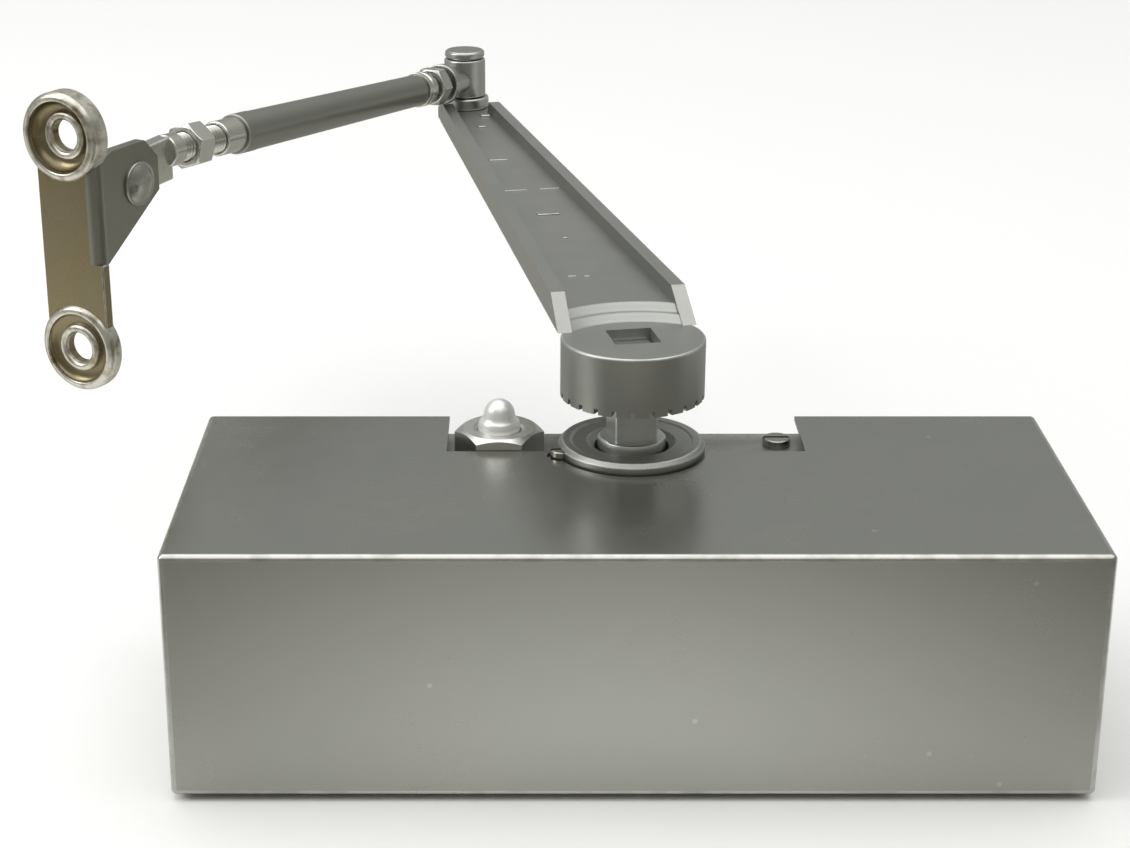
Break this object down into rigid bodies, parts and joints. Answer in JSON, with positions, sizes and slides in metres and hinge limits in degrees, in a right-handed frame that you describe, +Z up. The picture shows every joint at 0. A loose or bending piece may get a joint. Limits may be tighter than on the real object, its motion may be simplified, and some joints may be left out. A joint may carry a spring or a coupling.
{
  "type": "overhead door closer",
  "caption": "Overhead door closer: rack-and-pinion body under a box cover, with a pressed main arm and an adjustable rod forearm ending in a foot bracket for the frame.",
  "frame": {"origin": "centre of the four fixing holes, on the face that lies against the door", "axes": "+X along the cover, +Y from the closer into the door, +Z up along the shaft"},
  "size_m": [0.2976, 0.3526, 0.1568],
  "materials": {
    "silver_lacquer": "satin silver lacquer on sheet steel",
    "cast_body": "cast, silver lacquered",
    "zinc_steel": "bright zinc plated",
    "seal_rubber": "matt black",
    "shaft_steel": "ground steel",
    "bush_bronze": "sintered bronze",
    "ring_steel": "turned, satin",
    "cast_piston": "machined",
    "spring_steel": "oil hardened wire",
    "gland_nickel": "nickel plated",
    "arm_lacquer": "satin silver lacquer on pressed steel",
    "tube_lacquer": "satin silver grey lacquer",
    "foot_lacquer": "yellow passivated zinc, satin"
  },
  "bodies": {
    "housing": {"cover": "silver_lacquer", "closer_body": "cast_body", "end_plug_left": "zinc_steel", "end_plug_right": "zinc_steel", "plug_seal_left": "seal_rubber", "plug_seal_right": "seal_rubber", "pinion_bush_upper": "bush_bronze", "pinion_bush_lower": "bush_bronze", "shaft_seal": "seal_rubber", "bearing_ring": "ring_steel", "ring_lock_screw": "zinc_steel", "bottom_cap": "zinc_steel", "valve_gland": "gland_nickel", "cover_bracket_left": "zinc_steel", "cover_bracket_right": "zinc_steel", "bracket_screws": "zinc_steel", "cover_screws": "zinc_steel"},
    "arm": {"pinion_shaft": "shaft_steel", "arm_hub": "shaft_steel", "main_arm": "arm_lacquer", "elbow_pin": "shaft_steel", "elbow_collar": "arm_lacquer", "elbow_cap": "arm_lacquer"},
    "piston": {"rack_piston": "cast_piston", "piston_seal": "seal_rubber", "check_plug": "zinc_steel", "closing_spring": "spring_steel"},
    "ball": {"check_ball": "shaft_steel"},
    "seat": {"spring_seat": "zinc_steel"},
    "adjuster": {"spring_adjuster": "zinc_steel"},
    "speed_valve": {"valve_spindle": "gland_nickel"},
    "latch_valve": {"latch_screw": "zinc_steel"},
    "forearm": {"forearm_knuckle": "arm_lacquer", "elbow_lock_nut": "zinc_steel"},
    "tube": {"tube_ferrule": "zinc_steel", "forearm_tube": "tube_lacquer", "tube_insert": "zinc_steel"},
    "rod": {"foot_rod": "zinc_steel", "foot_lock_nut": "zinc_steel"},
    "foot": {"foot_bracket": "foot_lacquer", "foot_rivet": "zinc_steel", "rivet_washer": "zinc_steel"}
  },
  "joints": [
    {"name": "pinion_turn", "type": "hinge", "parent": "housing", "child": "arm", "pos_m": [0.0016, -0.0257, 0], "axis": [0, 0, 1], "range_deg": [-120, 25]},
    {"name": "piston_slide", "type": "slide", "parent": "housing", "child": "piston", "axis": [1, 0, 0], "range_m": [-0.004, 0.0189], "deforming": ["closing_spring"]},
    {"name": "ball_lift", "type": "slide", "parent": "piston", "child": "ball", "axis": [-1, 0, 0], "range_m": [0, 0.0008]},
    {"name": "power_adjust", "type": "hinge", "parent": "housing", "child": "adjuster", "pos_m": [0.11, -0.0257, 0], "axis": [1, 0, 0], "range_deg": [-721, 961]},
    {"name": "seat_slide", "type": "slide", "parent": "housing", "child": "seat", "axis": [1, 0, 0], "range_m": [-0.004, 0.003]},
    {"name": "speed_adjust", "type": "hinge", "parent": "housing", "child": "speed_valve", "pos_m": [-0.0354, -0.0166, 0.04], "axis": [0, 0, 1], "range_deg": [-180, 180]},
    {"name": "latch_adjust", "type": "hinge", "parent": "housing", "child": "latch_valve", "pos_m": [0.044, -0.009, 0.0286], "axis": [0, 0, 1], "range_deg": [-180, 180]},
    {"name": "elbow_swing", "type": "hinge", "parent": "arm", "child": "forearm", "pos_m": [-0.05144, 0.2422, 0.0818], "axis": [0, 0, 1], "range_deg": [-120, 4]},
    {"name": "tube_turn", "type": "hinge", "parent": "forearm", "child": "tube", "pos_m": [-0.05144, 0.2422, 0.0818], "axis": [-0.4684, -0.881, 0.0663], "range_deg": [-1801, 1801]},
    {"name": "rod_slide", "type": "slide", "parent": "forearm", "child": "rod", "axis": [-0.4684, -0.881, 0.0663], "range_m": [-0.0075, 0.0075]},
    {"name": "foot_pivot", "type": "hinge", "parent": "rod", "child": "foot", "pos_m": [-0.15083, 0.05528, 0.08986], "axis": [0.8829, -0.4695, 0], "range_deg": [-25, 25]}
  ],
  "couplings": [
    {"joint": "piston_slide", "follows": "pinion_turn", "m_per_rad": -0.009},
    {"joint": "power_adjust", "follows": "seat_slide", "rad_per_m": -4188.8},
    {"joint": "tube_turn", "follows": "rod_slide", "rad_per_m": -4188.8}
  ]
}
